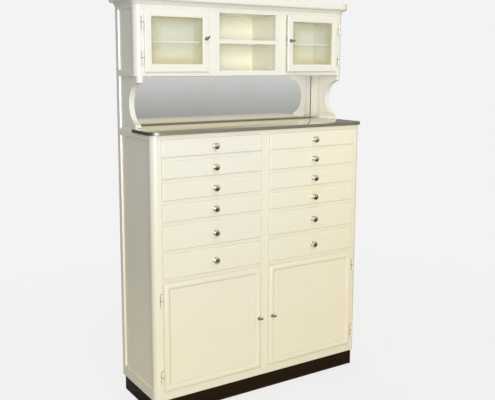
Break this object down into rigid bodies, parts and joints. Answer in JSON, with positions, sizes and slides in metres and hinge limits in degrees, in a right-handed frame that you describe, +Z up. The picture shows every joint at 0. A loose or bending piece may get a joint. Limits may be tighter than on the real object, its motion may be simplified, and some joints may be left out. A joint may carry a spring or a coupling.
{
  "type": "medical cabinet",
  "caption": "Tall painted medical cabinet: cupboard doors under rows of knobbed drawers, metal worktop, mirror bay on curved brackets and a set-back glazed upper case with a cornice.",
  "frame": {"origin": "on the floor, under the middle of the overall box", "axes": "+Z up, +X to the right seen from the front, +Y to the back, so the drawers open towards -Y"},
  "size_m": [1.072, 0.3536, 1.6555],
  "materials": {
    "cream_enamel": "glossy cream enamel on wood",
    "bare_wood": "planed wood, lightly oiled",
    "black_plinth": "black-brown lacquer on wood",
    "worktop_metal": "worn polish",
    "mirror": "silvered glass",
    "nickel": "nickel plate",
    "painted_hinge": "cream enamel",
    "clear_glass": "clear"
  },
  "bodies": {
    "cabinet": {"plinth": "black_plinth", "left_side_frame": "cream_enamel", "right_side_frame": "cream_enamel", "side_panels": "cream_enamel", "brackets": "cream_enamel", "corner_posts": "cream_enamel", "lower_face_frame": "cream_enamel", "case_boards": "bare_wood", "back_boards": "bare_wood", "cupboard_shelves": "bare_wood", "worktop_board": "bare_wood", "worktop_metal": "worktop_metal", "mirror": "mirror", "mirror_beads": "cream_enamel", "upper_case_boards": "cream_enamel", "upper_face_frame": "cream_enamel", "upper_shelves": "cream_enamel", "cornice": "cream_enamel", "hinge_leaves": "painted_hinge"},
    "drawer_left_1": {"drawer_left_1": "cream_enamel", "knob_left_1": "nickel"},
    "drawer_left_2": {"drawer_left_2": "cream_enamel", "knob_left_2": "nickel"},
    "drawer_left_3": {"drawer_left_3": "cream_enamel", "knob_left_3": "nickel"},
    "drawer_left_4": {"drawer_left_4": "cream_enamel", "knob_left_4": "nickel"},
    "drawer_left_5": {"drawer_left_5": "cream_enamel", "knob_left_5": "nickel"},
    "drawer_left_6": {"drawer_left_6": "cream_enamel", "knob_left_6": "nickel"},
    "drawer_right_1": {"drawer_right_1": "cream_enamel", "knob_right_1": "nickel"},
    "drawer_right_2": {"drawer_right_2": "cream_enamel", "knob_right_2": "nickel"},
    "drawer_right_3": {"drawer_right_3": "cream_enamel", "knob_right_3": "nickel"},
    "drawer_right_4": {"drawer_right_4": "cream_enamel", "knob_right_4": "nickel"},
    "drawer_right_5": {"drawer_right_5": "cream_enamel", "knob_right_5": "nickel"},
    "drawer_right_6": {"drawer_right_6": "cream_enamel", "knob_right_6": "nickel"},
    "lower_door_left": {"lower_door_left_frame": "cream_enamel", "lower_door_left_panel": "cream_enamel", "lower_door_left_hinges": "painted_hinge"},
    "lower_latch_left": {"lower_door_left_latch": "nickel"},
    "lower_door_right": {"lower_door_right_frame": "cream_enamel", "lower_door_right_panel": "cream_enamel", "lower_door_right_hinges": "painted_hinge"},
    "lower_latch_right": {"lower_door_right_latch": "nickel"},
    "upper_door_left": {"upper_door_left_frame": "cream_enamel", "upper_door_left_glass": "clear_glass", "upper_door_left_hinges": "painted_hinge"},
    "upper_latch_left": {"upper_door_left_latch": "nickel"},
    "upper_door_right": {"upper_door_right_frame": "cream_enamel", "upper_door_right_glass": "clear_glass", "upper_door_right_hinges": "painted_hinge"},
    "upper_latch_right": {"upper_door_right_latch": "nickel"}
  },
  "joints": [
    {"name": "drawer_left_1_slide", "type": "slide", "parent": "cabinet", "child": "drawer_left_1", "axis": [0, -1, 0], "range_m": [0, 0.22]},
    {"name": "drawer_left_2_slide", "type": "slide", "parent": "cabinet", "child": "drawer_left_2", "axis": [0, -1, 0], "range_m": [0, 0.22]},
    {"name": "drawer_left_3_slide", "type": "slide", "parent": "cabinet", "child": "drawer_left_3", "axis": [0, -1, 0], "range_m": [0, 0.22]},
    {"name": "drawer_left_4_slide", "type": "slide", "parent": "cabinet", "child": "drawer_left_4", "axis": [0, -1, 0], "range_m": [0, 0.22]},
    {"name": "drawer_left_5_slide", "type": "slide", "parent": "cabinet", "child": "drawer_left_5", "axis": [0, -1, 0], "range_m": [0, 0.22]},
    {"name": "drawer_left_6_slide", "type": "slide", "parent": "cabinet", "child": "drawer_left_6", "axis": [0, -1, 0], "range_m": [0, 0.22]},
    {"name": "drawer_right_1_slide", "type": "slide", "parent": "cabinet", "child": "drawer_right_1", "axis": [0, -1, 0], "range_m": [0, 0.22]},
    {"name": "drawer_right_2_slide", "type": "slide", "parent": "cabinet", "child": "drawer_right_2", "axis": [0, -1, 0], "range_m": [0, 0.22]},
    {"name": "drawer_right_3_slide", "type": "slide", "parent": "cabinet", "child": "drawer_right_3", "axis": [0, -1, 0], "range_m": [0, 0.22]},
    {"name": "drawer_right_4_slide", "type": "slide", "parent": "cabinet", "child": "drawer_right_4", "axis": [0, -1, 0], "range_m": [0, 0.22]},
    {"name": "drawer_right_5_slide", "type": "slide", "parent": "cabinet", "child": "drawer_right_5", "axis": [0, -1, 0], "range_m": [0, 0.22]},
    {"name": "drawer_right_6_slide", "type": "slide", "parent": "cabinet", "child": "drawer_right_6", "axis": [0, -1, 0], "range_m": [0, 0.22]},
    {"name": "lower_door_left_hinge", "type": "hinge", "parent": "cabinet", "child": "lower_door_left", "pos_m": [-0.481, -0.15325, 0.3275], "axis": [0, 0, -1], "range_deg": [0, 100]},
    {"name": "lower_latch_left_turn", "type": "hinge", "parent": "lower_door_left", "child": "lower_latch_left", "pos_m": [-0.03375, -0.15325, 0.3275], "axis": [0, 1, 0], "range_deg": [0, 90]},
    {"name": "lower_door_right_hinge", "type": "hinge", "parent": "cabinet", "child": "lower_door_right", "pos_m": [0.481, -0.15325, 0.3275], "axis": [0, 0, 1], "range_deg": [0, 100]},
    {"name": "lower_latch_right_turn", "type": "hinge", "parent": "lower_door_right", "child": "lower_latch_right", "pos_m": [0.03375, -0.15325, 0.3275], "axis": [0, -1, 0], "range_deg": [0, 90]},
    {"name": "upper_door_left_hinge", "type": "hinge", "parent": "cabinet", "child": "upper_door_left", "pos_m": [-0.4815, -0.02125, 1.47775], "axis": [0, 0, -1], "range_deg": [0, 100]},
    {"name": "upper_latch_left_turn", "type": "hinge", "parent": "upper_door_left", "child": "upper_latch_left", "pos_m": [-0.2045, -0.02125, 1.488], "axis": [0, 1, 0], "range_deg": [0, 90]},
    {"name": "upper_door_right_hinge", "type": "hinge", "parent": "cabinet", "child": "upper_door_right", "pos_m": [0.4815, -0.02125, 1.47775], "axis": [0, 0, 1], "range_deg": [-2.5, 97.5]},
    {"name": "upper_latch_right_turn", "type": "hinge", "parent": "upper_door_right", "child": "upper_latch_right", "pos_m": [0.20476, -0.03333, 1.488], "axis": [-0.0436, 0.999, 0], "range_deg": [0, 90]}
  ]
}
